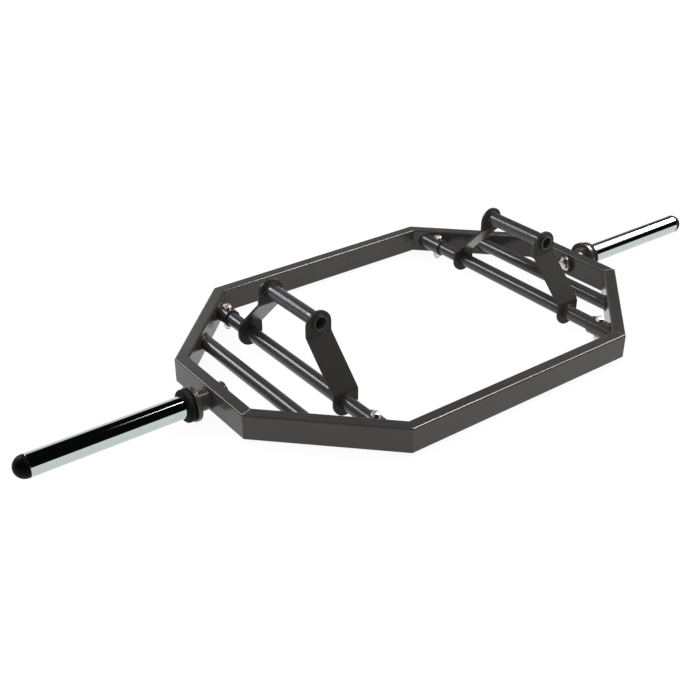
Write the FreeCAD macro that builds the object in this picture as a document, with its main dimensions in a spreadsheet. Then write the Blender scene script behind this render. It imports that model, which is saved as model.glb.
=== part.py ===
import FreeCAD, Part
import os

import Sketcher

# Driving sizes of the bar. Lengths are in millimetres.
SIZES = {
    # Octagonal frame of rectangular tube, measured over its outer faces, with its corners cut at 45 degrees.
    "long_rail_length": 630,
    "end_rail_length": 280,
    "corner_cut": 245,
    "rail_width": 30,
    "rail_height": 60,
    "rail_wall": 3,
    "rail_corner": 4,
    "rail_inner_corner": 1.5,
    # Pivot tubes of the handles, outside the long rails' corners.
    "pivot_outset": 20,
    "pivot_tube_diameter": 33.7,
    "pivot_tube_wall": 3.2,
    "pivot_tube_projection": 1,
    "pivot_end_play": 1,
    # Fixed low tubes outside the pivot tubes.
    "cross_tube_spacing": 108,
    "cross_tube_diameter": 33.7,
    "cross_tube_wall": 3.2,
    # Sockets on the diagonals, with their bushes and through bolts.
    "socket_length": 52.6,
    "socket_wall": 2.9,
    "socket_seat_depth": 1.2,
    "socket_seat_margin": 0.6,
    "bush_wall": 1.27,
    "bush_flange": 2,
    "bush_length": 12,
    "socket_bolt_diameter": 12,
    "socket_bolt_flats": 18,
    "socket_bolt_head": 7.5,
    "socket_bolt_projection": 5.2,
    "socket_nut_height": 10.8,
    # Cranked arms and grips; the ears' outer faces are measured from the middle of the frame,
    # and the centre of an upper ear's round is set down from the grip's axis.
    "grip_height": 150,
    "grip_diameter": 33.7,
    "grip_wall": 3.2,
    "grip_overhang": 7,
    "grip_chamfer": 0.8,
    "arm_width": 64,
    "arm_thickness": 6,
    "arm_bend_radius": 5,
    "upper_ear_distance": 95,
    "upper_ear_drop": 28,
    "upper_ear_setdown": 6,
    "lower_ear_distance": 190,
    "lower_ear_rise": 25,
    # Sleeve housings through the end rails, with their bearings.
    "housing_diameter": 48.3,
    "housing_wall": 4.15,
    "housing_inside": 11,
    "housing_outside": 29,
    "bearing_spacing": 6.4,
    "thrust_washer_diameter": 54,
    "thrust_washer_thickness": 3,
    # Turning sleeves on their spindles.
    "sleeve_diameter": 50,
    "sleeve_wall": 4,
    "sleeve_seat_depth": 1,
    "sleeve_length": 367.7,
    "flange_diameter": 80,
    "flange_thickness": 10,
    "flange_chamfer": 1.5,
    "ring_diameter": 73,
    "ring_thickness": 18.5,
    "ring_rounding": 6,
    "cap_rim": 3,
    "cap_step": 0.2,
    "cap_plug_length": 20,
    "cap_plug_wall": 3,
    "journal_diameter": 30,
    "journal_recess": 11.3,
    "spindle_root_length": 100,
    "retaining_washer_thickness": 4,
    "retaining_bolt_diameter": 16,
    "retaining_bolt_flats": 24,
    "retaining_bolt_head": 10,
    "retaining_bolt_length": 45,
    "tapped_hole_spare": 3,
    # Fits, and the round face on a hexagon as a share of its flats.
    "weld_gap": 0.1,
    "running_clearance": 0.08,
    "side_clearance": 0.3,
    "bolt_clearance": 0.5,
    "thread_clearance": 0.05,
    "washer_clearance": 1,
    "hexagon_face_share": 0.95,
}

# Places that several pieces share, worked out from the sizes.
HALF_LONG = "(Sizes.long_rail_length / 2)"
HALF_END = "(Sizes.end_rail_length / 2)"
HALF_WIDTH = f"({HALF_END} + Sizes.corner_cut)"
HALF_RAIL = "(Sizes.rail_width / 2)"
END_FACE = f"({HALF_LONG} + Sizes.corner_cut)"
# On a diagonal's inner face the two distances from the middle add up to this.
DIAGONAL_SUM = f"({HALF_LONG} + {HALF_WIDTH} - Sizes.rail_width * sqrt(2))"
# The flanges are the lowest points, so they set the height of the frame's middle plane.
LEVEL = "(Sizes.flange_diameter / 2)"
PIVOT_X = f"({HALF_LONG} + Sizes.pivot_outset)"
CROSS_X = f"({PIVOT_X} + Sizes.cross_tube_spacing)"
PIVOT_RADIUS = "(Sizes.pivot_tube_diameter / 2)"
BUSH_BORE = f"({PIVOT_RADIUS} + Sizes.running_clearance)"
BUSH_RADIUS = f"({BUSH_BORE} + Sizes.bush_wall)"
SOCKET_BORE = f"({BUSH_RADIUS} + Sizes.weld_gap)"
SOCKET_RADIUS = f"({SOCKET_BORE} + Sizes.socket_wall)"
SOCKET_MOUTH = f"({DIAGONAL_SUM} - {PIVOT_X} - Sizes.socket_length)"
# Each pivot tube reaches just past its bushes, and the bolts stand across the sockets beyond its ends.
TUBE_INSERTION = "(Sizes.bush_length + Sizes.pivot_tube_projection)"
BOLT_DEPTH = f"({TUBE_INSERTION} + Sizes.pivot_end_play + Sizes.socket_bolt_diameter / 2)"
SEAT_HEIGHT = f"({SOCKET_RADIUS} - Sizes.socket_seat_depth)"
HOUSING_START = f"({END_FACE} - Sizes.rail_width - Sizes.housing_inside)"
HOUSING_END = f"({END_FACE} + Sizes.housing_outside)"
SLEEVE_START = f"({HOUSING_END} + Sizes.thrust_washer_thickness + Sizes.side_clearance)"
SLEEVE_END = f"({SLEEVE_START} + Sizes.sleeve_length)"
SPINDLE_START = f"({HOUSING_START} + Sizes.journal_recess)"
WASHER_START = f"({SPINDLE_START} - Sizes.retaining_washer_thickness)"
HOUSING_BORE = "(Sizes.housing_diameter / 2 - Sizes.housing_wall)"
SLEEVE_BORE = "(Sizes.sleeve_diameter / 2 - Sizes.sleeve_wall)"
# The collar and the rubber ring sit on a turned-down seat and stop against the sleeve's shoulder.
SLEEVE_SEAT = "(Sizes.sleeve_diameter / 2 - Sizes.sleeve_seat_depth)"
FLANGE_END = f"({SLEEVE_START} + Sizes.flange_thickness)"
RING_END = f"({FLANGE_END} + Sizes.ring_thickness)"
JOURNAL = "(Sizes.journal_diameter / 2)"

RAIL_MITRE = "tan(22.5 deg)"
TUBE_MITRE = "tan(45 deg)"
# How far a cutting outline reaches past the metal that it removes.
CUT_MARGIN = "5"

# Distance within which a corner or a radius counts as the one looked for.
SAME = 1e-6

UP = FreeCAD.Vector(0, 0, 1)
ACROSS = FreeCAD.Vector(0, 1, 0)

document = FreeCAD.newDocument("hex_trap_bar")
sheet = document.addObject("Spreadsheet::Sheet", "Sizes")
for row, (alias, size) in enumerate(SIZES.items(), start=1):
    sheet.set(f"A{row}", alias)
    sheet.set(f"B{row}", str(size))
    sheet.setAlias(f"B{row}", alias)
document.recompute()

nodes = []


def value(size):
    """Number that a size expression gives now."""
    return float(sheet.evalExpression(size))


def node(item, label):
    """Marks a finished sub-part, whose label names its file."""
    item.Label = label
    nodes.append(item)
    return item


def bind(item, **sizes):
    """Ties an object's properties to size expressions."""
    for name, size in sizes.items():
        item.setExpression(name, size)
    return item


def place(item, x="0", y="0", z="0", axis=UP, turn=0):
    """Turns an object about an axis and ties its place to size expressions."""
    item.Placement = FreeCAD.Placement(FreeCAD.Vector(), FreeCAD.Rotation(axis, turn))
    for name, size in (("x", x), ("y", y), ("z", z)):
        item.setExpression(f"Placement.Base.{name}", size)
    return item


# Sketches and features

def sketch_on(body, plane, height="0"):
    """New sketch on one of the body's own origin planes, or parallel to it at a height."""
    sketch = body.newObject("Sketcher::SketchObject", "Sketch")
    support = next(item for item in body.Origin.OriginFeatures if item.Role == plane)
    sketch.AttachmentSupport = [(support, "")]
    sketch.MapMode = "FlatFace"
    sketch.setExpression("AttachmentOffset.Base.z", height)
    return sketch


def constrain(sketch, size, kind, *places):
    """Adds a dimension to a sketch and ties it to a size expression."""
    index = sketch.addConstraint(Sketcher.Constraint(kind, *places, value(size)))
    sketch.setExpression(f"Constraints[{index}]", size)


def tie_point(sketch, geometry, point, x, y):
    """Fixes a sketch point at a distance from the sketch's two axes."""
    for kind, axis, size in (("DistanceX", -2, x), ("DistanceY", -1, y)):
        if size == "0":
            sketch.addConstraint(Sketcher.Constraint("PointOnObject", geometry, point, axis))
        else:
            constrain(sketch, size, kind, -1, 1, geometry, point)


def add_polygon(sketch, corners):
    """Closes straight lines through corners given as pairs of size expressions."""
    first = sketch.GeometryCount
    points = [FreeCAD.Vector(value(x), value(y), 0) for x, y in corners]
    for start, end in zip(points, points[1:] + points[:1]):
        sketch.addGeometry(Part.LineSegment(start, end))
    for index, (x, y) in enumerate(corners):
        before = first + (index - 1) % len(corners)
        sketch.addConstraint(Sketcher.Constraint("Coincident", before, 2, first + index, 1))
        tie_point(sketch, first + index, 1, x, y)


def add_circle(sketch, x, y, diameter):
    """Circle about a point given by two size expressions."""
    middle = FreeCAD.Vector(value(x), value(y), 0)
    index = sketch.addGeometry(Part.Circle(middle, UP, value(diameter) / 2))
    tie_point(sketch, index, 3, x, y)
    constrain(sketch, diameter, "Diameter", index)


def add_rounded_outline(sketch, centres, radius):
    """Closed outline of arcs of one radius joined by tangent lines, anticlockwise round the centres."""
    middles = [FreeCAD.Vector(value(x), value(y), 0) for x, y in centres]
    lines = []
    for start, end in zip(middles, middles[1:] + middles[:1]):
        outward = (end - start).cross(UP).normalize() * value(radius)
        lines.append(sketch.addGeometry(Part.LineSegment(start + outward, end + outward)))
    for index, (x, y) in enumerate(centres):
        before = sketch.Geometry[lines[index - 1]]
        after = sketch.Geometry[lines[index]]
        arriving = (before.EndPoint - before.StartPoint).normalize()
        leaving = (after.EndPoint - after.StartPoint).normalize()
        crown = middles[index] + (arriving - leaving).normalize() * value(radius)
        arc = sketch.addGeometry(Part.Arc(before.EndPoint, crown, after.StartPoint))
        tie_point(sketch, arc, 3, x, y)
        constrain(sketch, radius, "Radius", arc)
        sketch.addConstraint(Sketcher.Constraint("Tangent", lines[index - 1], 2, arc, 1))
        sketch.addConstraint(Sketcher.Constraint("Tangent", arc, 2, lines[index], 1))


def pad(body, sketch, length):
    """Adds metal to both sides of the sketch."""
    feature = body.newObject("PartDesign::Pad", "Pad")
    feature.Profile = sketch
    feature.SideType = "Symmetric"
    return bind(feature, Length=length)


def pocket(body, sketch, side="Symmetric", upwards=False):
    """Cuts right through the body, both ways or to one side of the sketch."""
    feature = body.newObject("PartDesign::Pocket", "Pocket")
    feature.Profile = sketch
    feature.Type = "ThroughAll"
    feature.SideType = side
    feature.Reversed = upwards
    return feature


def new_body():
    """Empty body for a sub-part that is built up from features."""
    return document.addObject("PartDesign::Body", "Body")


def turned(corners):
    """Body turned about its own X axis from an outline of (length, radius) corners."""
    body = new_body()
    sketch = sketch_on(body, "XY_Plane")
    add_polygon(sketch, corners)
    feature = body.newObject("PartDesign::Revolution", "Revolution")
    feature.Profile = sketch
    feature.ReferenceAxis = (sketch, ["H_Axis"])
    feature.Angle = 360
    return body


def turned_tube(start, end, bore, outside):
    """Plain turned tube or ring between two lengths and two radii."""
    return turned([(start, bore), (start, outside), (end, outside), (end, bore)])


def cut_mitre(body, centre_end, half_width, slope, ends=(1, -1), long_side=-1):
    """Cuts the ends of a bar along X on a slant, leaving it longest on its long side in Y."""
    sketch = sketch_on(body, "XY_Plane")
    reach = f"({half_width} + {CUT_MARGIN})"
    shift = f"({reach} * {slope})"
    beyond = f"({centre_end} + {shift} + {CUT_MARGIN})"
    for end in ends:
        add_polygon(sketch, [
            (f"{end} * ({centre_end} + {shift})", f"{long_side} * {reach}"),
            (f"{end} * ({centre_end} - {shift})", f"-{long_side} * {reach}"),
            (f"{end} * {beyond}", f"-{long_side} * {reach}"),
            (f"{end} * {beyond}", f"{long_side} * {reach}"),
        ])
    return pocket(body, sketch)


# Frame

def make_rail(label, outer_length, x, y, turn, bore=None):
    """Mitred rectangular tube along X whose outer face looks along -Y before it is turned."""
    body = new_body()
    section = sketch_on(body, "YZ_Plane")
    walls = (("0", "Sizes.rail_corner"), ("Sizes.rail_wall", "Sizes.rail_inner_corner"))
    for wall, corner in walls:
        wide = f"(Sizes.rail_width / 2 - {wall} - {corner})"
        high = f"(Sizes.rail_height / 2 - {wall} - {corner})"
        centres = [(wide, f"-{high}"), (wide, high), (f"-{wide}", high), (f"-{wide}", f"-{high}")]
        add_rounded_outline(section, centres, corner)
    pad(body, section, outer_length)
    centre_end = f"({outer_length} / 2 - {HALF_RAIL} * {RAIL_MITRE})"
    cut_mitre(body, centre_end, HALF_RAIL, RAIL_MITRE)
    if bore:
        opening = sketch_on(body, "XZ_Plane")
        add_circle(opening, "0", "0", bore)
        pocket(body, opening)
    return node(place(body, x, y, LEVEL, turn=turn), label)


def make_rails():
    """Eight rails of the octagon: front, rear, two ends and four diagonals."""
    long_rail_y = f"({HALF_WIDTH} - {HALF_RAIL})"
    end_rail_x = f"({END_FACE} - {HALF_RAIL})"
    housing_hole = "Sizes.housing_diameter + 2 * Sizes.weld_gap"
    make_rail("front_rail", "Sizes.long_rail_length", "0", f"-{long_rail_y}", 0)
    make_rail("rear_rail", "Sizes.long_rail_length", "0", long_rail_y, 180)
    make_rail("right_end_rail", "Sizes.end_rail_length", end_rail_x, "0", 90, housing_hole)
    make_rail("left_end_rail", "Sizes.end_rail_length", f"-{end_rail_x}", "0", 270, housing_hole)
    length = f"(({END_FACE} - {HALF_LONG}) * sqrt(2))"
    inset = f"({HALF_RAIL} / sqrt(2))"
    x = f"(({HALF_LONG} + {END_FACE}) / 2 - {inset})"
    y = f"(({HALF_WIDTH} + {HALF_END}) / 2 - {inset})"
    make_rail("front_right_diagonal", length, x, f"-{y}", 45)
    make_rail("rear_right_diagonal", length, x, y, 135)
    make_rail("rear_left_diagonal", length, f"-{x}", y, 225)
    make_rail("front_left_diagonal", length, f"-{x}", f"-{y}", 315)


def make_cross_tube(label, x, turn):
    """Low tube whose slanted ends meet the inner faces of two diagonals."""
    outside = "(Sizes.cross_tube_diameter / 2)"
    bore = f"({outside} - Sizes.cross_tube_wall)"
    centre_end = f"({DIAGONAL_SUM} - {CROSS_X})"
    body = turned_tube(f"-({centre_end} + {outside})", f"{centre_end} + {outside}", bore, outside)
    cut_mitre(body, centre_end, outside, TUBE_MITRE)
    return node(place(body, x, "0", LEVEL, turn=turn), label)


def make_socket(label, x, y, turn, long_side):
    """Socket tube from its mouth to the diagonal, with flats for a bolt head and a nut."""
    length = "Sizes.socket_length"
    body = turned_tube("0", f"{length} + {SOCKET_RADIUS}", SOCKET_BORE, SOCKET_RADIUS)
    cut_mitre(body, length, SOCKET_RADIUS, TUBE_MITRE, ends=(1,), long_side=long_side)
    hole = sketch_on(body, "XY_Plane")
    add_circle(hole, BOLT_DEPTH, "0", "Sizes.socket_bolt_diameter + 2 * Sizes.bolt_clearance")
    pocket(body, hole)
    seat_diameter = "Sizes.socket_bolt_flats / cos(30 deg) + 2 * Sizes.socket_seat_margin"
    for height, upwards in ((SEAT_HEIGHT, True), (f"-{SEAT_HEIGHT}", False)):
        seat = sketch_on(body, "XY_Plane", height)
        add_circle(seat, BOLT_DEPTH, "0", seat_diameter)
        pocket(body, seat, "One side", upwards)
    return node(place(body, x, y, LEVEL, turn=turn), label)


def make_socket_bush(label, x, y, turn):
    """Flanged nylon bush in a socket's mouth, running on the pivot tube."""
    body = turned([
        ("-Sizes.bush_flange", BUSH_BORE), ("-Sizes.bush_flange", SOCKET_RADIUS), ("0", SOCKET_RADIUS),
        ("0", BUSH_RADIUS), ("Sizes.bush_length", BUSH_RADIUS), ("Sizes.bush_length", BUSH_BORE),
    ])
    return node(place(body, x, y, LEVEL, turn=turn), label)


def make_sockets():
    """Four sockets and bushes, one at each end of the two pivot tubes."""
    for side, x_sign in (("left", "-"), ("right", "")):
        for end, y_sign, turn in (("front", "-", -90), ("rear", "", 90)):
            x = f"{x_sign}{PIVOT_X}"
            y = f"{y_sign}{SOCKET_MOUTH}"
            long_side = 1 if (side == "right") == (end == "rear") else -1
            make_socket(f"{end}_{side}_socket", x, y, turn, long_side)
            make_socket_bush(f"{end}_{side}_socket_bush", x, y, turn)


# Fasteners

def primitive(kind, **sizes):
    """Solid primitive with its sizes tied to size expressions."""
    return bind(document.addObject(f"Part::{kind}", kind), **sizes)


def combine(kind, base, tool):
    """Cut, fusion or common part of two solids."""
    feature = document.addObject(f"Part::{kind}", kind)
    feature.Base = base
    feature.Tool = tool
    return feature


def hexagon(flats, height):
    """Hexagonal head or nut from its seat upwards, with its top corners turned off at 30 degrees."""
    prism = primitive("Prism", Circumradius=f"{flats} / 2 / cos(30 deg)", Height=height)
    face = f"({flats} / 2 * Sizes.hexagon_face_share)"
    spread = f"({face} + {height} * tan(60 deg))"
    cone = primitive("Cone", Radius1=spread, Radius2=face, Height=height)
    return combine("Common", prism, cone)


def hex_bolt(flats, head, diameter, length):
    """Bolt with its head above the seat and its shank below."""
    shank = primitive("Cylinder", Radius=f"{diameter} / 2", Height=length)
    place(shank, z=f"-{length}")
    return combine("Fuse", hexagon(flats, head), shank)


def hex_nut(flats, height, diameter):
    """Nut that rests on its seat."""
    bore = primitive("Cylinder", Radius=f"{diameter} / 2 + Sizes.thread_clearance", Height=height)
    return combine("Cut", hexagon(flats, height), bore)


def one_per_socket(item):
    """Group of four fasteners, mirrored from the one at the rear right socket."""
    group = item
    for normal in (FreeCAD.Vector(1, 0, 0), FreeCAD.Vector(0, 1, 0)):
        mirror = document.addObject("Part::Mirroring", "Mirror")
        mirror.Source = group
        mirror.Normal = normal
        pair = document.addObject("Part::Compound", "Group")
        pair.Links = [group, mirror]
        group = pair
    return group


def make_socket_fasteners():
    """Through bolts that stop the pivot tubes from sliding out, with their nuts underneath."""
    y = f"{SOCKET_MOUTH} + {BOLT_DEPTH}"
    length = f"(2 * {SEAT_HEIGHT} + Sizes.socket_nut_height + Sizes.socket_bolt_projection)"
    bolt = hex_bolt("Sizes.socket_bolt_flats", "Sizes.socket_bolt_head", "Sizes.socket_bolt_diameter", length)
    place(bolt, PIVOT_X, y, f"{LEVEL} + {SEAT_HEIGHT}")
    node(one_per_socket(bolt), "socket_bolts")
    nut = hex_nut("Sizes.socket_bolt_flats", "Sizes.socket_nut_height", "Sizes.socket_bolt_diameter")
    place(nut, PIVOT_X, y, f"{LEVEL} - {SEAT_HEIGHT}", ACROSS, 180)
    node(one_per_socket(nut), "socket_nuts")


# Handles

def edges_along_x(feature, places):
    """Names of a feature's straight edges along X through the given (y, z) places."""
    names = []
    for index, edge in enumerate(feature.Shape.Edges, start=1):
        ends = [vertex.Point for vertex in edge.Vertexes]
        for y, z in places:
            through = all(FreeCAD.Vector(point.x, y, z).isEqual(point, SAME) for point in ends)
            if through and len(ends) == 2:
                names.append(f"Edge{index}")
    return names


def bend(body, feature, places, radius):
    """Rounds the edges of a folded plate."""
    rounding = body.newObject("PartDesign::Fillet", "Bend")
    rounding.Base = (feature, edges_along_x(feature, places))
    bind(rounding, Radius=radius)
    document.recompute()
    return rounding


def make_arm(label, x, turn):
    """Cranked flat arm on the -Y side: a lower ear on the pivot tube and an upper ear on the grip."""
    body = new_body()
    thickness = "Sizes.arm_thickness"
    upper = "Sizes.upper_ear_distance"
    lower = "Sizes.lower_ear_distance"
    upper_bend = "(Sizes.grip_height - Sizes.upper_ear_drop)"
    lower_bend = "Sizes.lower_ear_rise"
    lean = f"atan(({lower} - {upper}) / ({upper_bend} - {lower_bend}))"
    drop = f"({thickness} * tan({lean} / 2))"
    top = "Sizes.grip_height + Sizes.arm_width"
    bottom = "-Sizes.arm_width"
    outer_bends = [(f"-{upper}", upper_bend), (f"-{lower}", lower_bend)]
    inner_bends = [(f"{y} + {thickness}", f"{z} - {drop}") for y, z in outer_bends]
    side_view = sketch_on(body, "YZ_Plane")
    add_polygon(side_view, [
        (f"-{upper}", top), *outer_bends, (f"-{lower}", bottom),
        (f"-{lower} + {thickness}", bottom), *reversed(inner_bends), (f"-{upper} + {thickness}", top),
    ])
    strip = pad(body, side_view, f"Sizes.arm_width + 2 * {CUT_MARGIN}")
    document.recompute()
    corners = [[(value(y), value(z)) for y, z in bends] for bends in (outer_bends, inner_bends)]
    tight = [corners[0][0], corners[1][1]]
    wide = [corners[1][0], corners[0][1]]
    strip = bend(body, strip, tight, "Sizes.arm_bend_radius")
    bend(body, strip, wide, f"Sizes.arm_bend_radius + {thickness}")
    front_view = sketch_on(body, "XZ_Plane")
    side = f"(Sizes.arm_width + {CUT_MARGIN})"
    above = f"({top} + {CUT_MARGIN})"
    below = f"({bottom} - {CUT_MARGIN})"
    add_polygon(front_view, [(side, below), (side, above), (f"-{side}", above), (f"-{side}", below)])
    ear_centre = "Sizes.grip_height - Sizes.upper_ear_setdown"
    add_rounded_outline(front_view, [("0", "0"), ("0", ear_centre)], "Sizes.arm_width / 2")
    pocket(body, front_view)
    holes = sketch_on(body, "XZ_Plane")
    add_circle(holes, "0", "0", "Sizes.pivot_tube_diameter + 2 * Sizes.weld_gap")
    add_circle(holes, "0", "Sizes.grip_height", "Sizes.grip_diameter + 2 * Sizes.weld_gap")
    pocket(body, holes)
    return node(place(body, x, "0", LEVEL, turn=turn), label)


def make_handle(side, x):
    """Pivot tube, two arms and a grip that turn together in the sockets."""
    tube_end = f"({SOCKET_MOUTH} + {TUBE_INSERTION})"
    pivot = turned_tube(f"-{tube_end}", tube_end, f"{PIVOT_RADIUS} - Sizes.pivot_tube_wall", PIVOT_RADIUS)
    node(place(pivot, x, "0", LEVEL, turn=90), f"{side}_pivot_tube")
    make_arm(f"{side}_front_arm", x, 0)
    make_arm(f"{side}_rear_arm", x, 180)
    grip = "(Sizes.grip_diameter / 2)"
    end = "(Sizes.upper_ear_distance + Sizes.grip_overhang)"
    bore = f"({grip} - Sizes.grip_wall)"
    edge = "Sizes.grip_chamfer"
    bar = turned([
        (f"-{end}", bore), (f"-{end}", f"{grip} - {edge}"), (f"-{end} + {edge}", grip),
        (f"{end} - {edge}", grip), (end, f"{grip} - {edge}"), (end, bore),
    ])
    node(place(bar, x, "0", f"{LEVEL} + Sizes.grip_height", turn=90), f"{side}_grip")


# Sleeves

def make_end_cap():
    """Domed cap along Z: hollow plug below, rim and dome above."""
    outside = "Sizes.sleeve_diameter / 2 - Sizes.cap_step"
    plug_radius = f"({SLEEVE_BORE} - Sizes.weld_gap)"
    length = "Sizes.cap_plug_length"
    plug = primitive("Cylinder", Radius=plug_radius, Height=length)
    hollow = primitive("Cylinder", Radius=f"{plug_radius} - Sizes.cap_plug_wall", Height=length)
    rim = primitive("Cylinder", Radius=outside, Height="Sizes.cap_rim")
    dome = primitive("Sphere", Radius=outside)
    dome.Angle1 = 0
    place(plug, z=f"-{length}")
    place(hollow, z=f"-{length}")
    place(dome, z="Sizes.cap_rim")
    return combine("Fuse", combine("Cut", plug, hollow), combine("Fuse", rim, dome))


def make_spindle():
    """Stepped shaft: journal in the housing, root in the sleeve, tapped at its inner end."""
    root = f"({SLEEVE_BORE} - Sizes.weld_gap)"
    root_end = f"{SLEEVE_START} + Sizes.spindle_root_length"
    tapping = "(Sizes.retaining_bolt_diameter / 2 + Sizes.thread_clearance)"
    tapped_end = f"{WASHER_START} + Sizes.retaining_bolt_length + Sizes.tapped_hole_spare"
    return turned([
        (SPINDLE_START, tapping), (SPINDLE_START, JOURNAL), (SLEEVE_START, JOURNAL), (SLEEVE_START, root),
        (root_end, root), (root_end, "0"), (tapped_end, "0"), (tapped_end, tapping),
    ])


def make_flange():
    """Steel collar with bevelled rims, welded on the sleeve's inner end."""
    bore = f"({SLEEVE_SEAT} + Sizes.weld_gap)"
    rim = "(Sizes.flange_diameter / 2)"
    bevel = "Sizes.flange_chamfer"
    return turned([
        (SLEEVE_START, bore), (SLEEVE_START, f"{rim} - {bevel}"), (f"{SLEEVE_START} + {bevel}", rim),
        (f"{FLANGE_END} - {bevel}", rim), (FLANGE_END, f"{rim} - {bevel}"), (FLANGE_END, bore),
    ])


def make_sleeve_tube():
    """Plated tube that carries the plates, turned down at its inner end for the collar and the ring."""
    outside = "Sizes.sleeve_diameter / 2"
    return turned([
        (SLEEVE_START, SLEEVE_BORE), (SLEEVE_START, SLEEVE_SEAT), (RING_END, SLEEVE_SEAT),
        (RING_END, outside), (SLEEVE_END, outside), (SLEEVE_END, SLEEVE_BORE),
    ])


def make_rubber_ring():
    """Rubber ring with round shoulders, held between the collar and the sleeve's shoulder."""
    rim = "(Sizes.ring_diameter / 2)"
    body = turned_tube(FLANGE_END, RING_END, f"{SLEEVE_SEAT} + Sizes.weld_gap", rim)
    document.recompute()
    revolution = body.Tip
    rims = []
    for index, edge in enumerate(revolution.Shape.Edges, start=1):
        if isinstance(edge.Curve, Part.Circle) and abs(edge.Curve.Radius - value(rim)) < SAME:
            rims.append(f"Edge{index}")
    shoulders = body.newObject("PartDesign::Fillet", "Shoulders")
    shoulders.Base = (revolution, rims)
    bind(shoulders, Radius="Sizes.ring_rounding")
    return body


def make_sleeve(side, sign, turn):
    """Housing on one end rail with its bearings, and the sleeve that turns in it."""
    bearing_bore = f"({JOURNAL} + Sizes.running_clearance)"
    bearing_outside = f"({HOUSING_BORE} - Sizes.weld_gap)"
    inner_start = f"({SPINDLE_START} + Sizes.side_clearance)"
    bearing_length = f"(({HOUSING_END} - {inner_start} - Sizes.bearing_spacing) / 2)"
    bolt_radius = "Sizes.retaining_bolt_diameter / 2"
    pieces = {
        "sleeve_housing": turned_tube(HOUSING_START, HOUSING_END, HOUSING_BORE, "Sizes.housing_diameter / 2"),
        "inner_bearing": turned_tube(inner_start, f"{inner_start} + {bearing_length}",
                                     bearing_bore, bearing_outside),
        "outer_bearing": turned_tube(f"{HOUSING_END} - {bearing_length}", HOUSING_END,
                                     bearing_bore, bearing_outside),
        "thrust_washer": turned_tube(HOUSING_END, f"{HOUSING_END} + Sizes.thrust_washer_thickness",
                                     bearing_bore, "Sizes.thrust_washer_diameter / 2"),
        "spindle": make_spindle(),
        "flange": make_flange(),
        "rubber_ring": make_rubber_ring(),
        "sleeve_tube": make_sleeve_tube(),
        "retaining_washer": turned_tube(WASHER_START, SPINDLE_START, f"{bolt_radius} + Sizes.bolt_clearance",
                                        f"{HOUSING_BORE} - Sizes.washer_clearance"),
    }
    for name, body in pieces.items():
        node(place(body, "0", "0", LEVEL, turn=turn), f"{side}_{name}")
    bolt = hex_bolt("Sizes.retaining_bolt_flats", "Sizes.retaining_bolt_head",
                    "Sizes.retaining_bolt_diameter", "Sizes.retaining_bolt_length")
    node(place(bolt, f"{sign} * {WASHER_START}", "0", LEVEL, ACROSS, -90 * sign), f"{side}_retaining_bolt")
    cap = make_end_cap()
    node(place(cap, f"{sign} * {SLEEVE_END}", "0", LEVEL, ACROSS, 90 * sign), f"{side}_end_cap")


make_rails()
make_cross_tube("right_cross_tube", CROSS_X, -90)
make_cross_tube("left_cross_tube", f"-{CROSS_X}", 90)
make_sockets()
make_socket_fasteners()
make_handle("left", f"-{PIVOT_X}")
make_handle("right", PIVOT_X)
make_sleeve("left", -1, 180)
make_sleeve("right", 1, 0)
document.recompute()

for item in document.Objects:
    if "Invalid" in item.State or "Error" in item.State:
        raise RuntimeError(f"{item.Label} did not build: {item.State}")
for item in nodes:
    if item.Shape.isNull() or not item.Shape.isValid():
        raise RuntimeError(f"{item.Label} has no valid shape")

os.makedirs("parts", exist_ok=True)
for item in nodes:
    item.Shape.exportStep(f"parts/{item.Label}.step")
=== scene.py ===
"""Looks of the octagonal trap bar: its painted frame, knurled handles, chromed sleeves and studio."""

import logging
import math
from dataclasses import dataclass
from enum import Enum
from typing import Sequence

import bpy
import numpy as np
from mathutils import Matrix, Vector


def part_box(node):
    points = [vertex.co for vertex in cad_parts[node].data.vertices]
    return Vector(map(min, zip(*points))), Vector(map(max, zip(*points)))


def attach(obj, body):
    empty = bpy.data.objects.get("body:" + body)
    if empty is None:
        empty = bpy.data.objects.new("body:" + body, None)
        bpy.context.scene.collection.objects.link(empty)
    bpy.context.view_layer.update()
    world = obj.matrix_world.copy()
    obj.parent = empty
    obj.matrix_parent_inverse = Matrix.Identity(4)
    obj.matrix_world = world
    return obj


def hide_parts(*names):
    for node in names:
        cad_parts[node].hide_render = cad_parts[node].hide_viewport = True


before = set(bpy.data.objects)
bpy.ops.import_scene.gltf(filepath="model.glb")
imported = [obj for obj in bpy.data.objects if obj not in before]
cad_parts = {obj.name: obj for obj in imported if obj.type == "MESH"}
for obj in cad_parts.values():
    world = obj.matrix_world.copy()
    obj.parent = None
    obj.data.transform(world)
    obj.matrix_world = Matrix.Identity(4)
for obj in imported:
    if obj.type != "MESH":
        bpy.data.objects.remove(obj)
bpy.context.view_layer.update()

LOG = logging.getLogger("trap_bar")
Array = np.ndarray
Tree = bpy.types.NodeTree
Socket = bpy.types.NodeSocket
Pair = tuple[float, float]
Triple = tuple[float, float, float]

MM = 0.001
FULL_TURN = 2.0 * math.pi
# Points round a plain tube, in a full turn.
TUBE_STEPS = 96
# Edges sharper than this stay crisp when a piece is shaded smooth.
CRISP_ANGLE = math.radians(38.0)
# The flat beside a rounding holds on to one more point, this far away or this share of its free length.
HOLD, HOLD_SHARE = 0.5, 0.3
# A cone of 30 degrees cuts off the corners of a hexagon. It meets the end face at this share of the flats,
# and the corners within this share of the height.
CONE_FACE, CONE_BAND = 0.95, 0.2
# The diagonals stand at 45 degrees, so their faces look this far along x and along y.
DIAGONAL = math.sqrt(0.5)
WHITE = "#ffffff"


class Sign(Enum):
    """One of two opposite places, with the sign of its coordinate."""

    @property
    def word(self) -> str:
        """The place's name as it stands in the nodes' names."""
        return self.name.lower()


class Side(Sign):
    """The bar's two ends, with the sign of their x."""

    LEFT = -1
    RIGHT = 1


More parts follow.
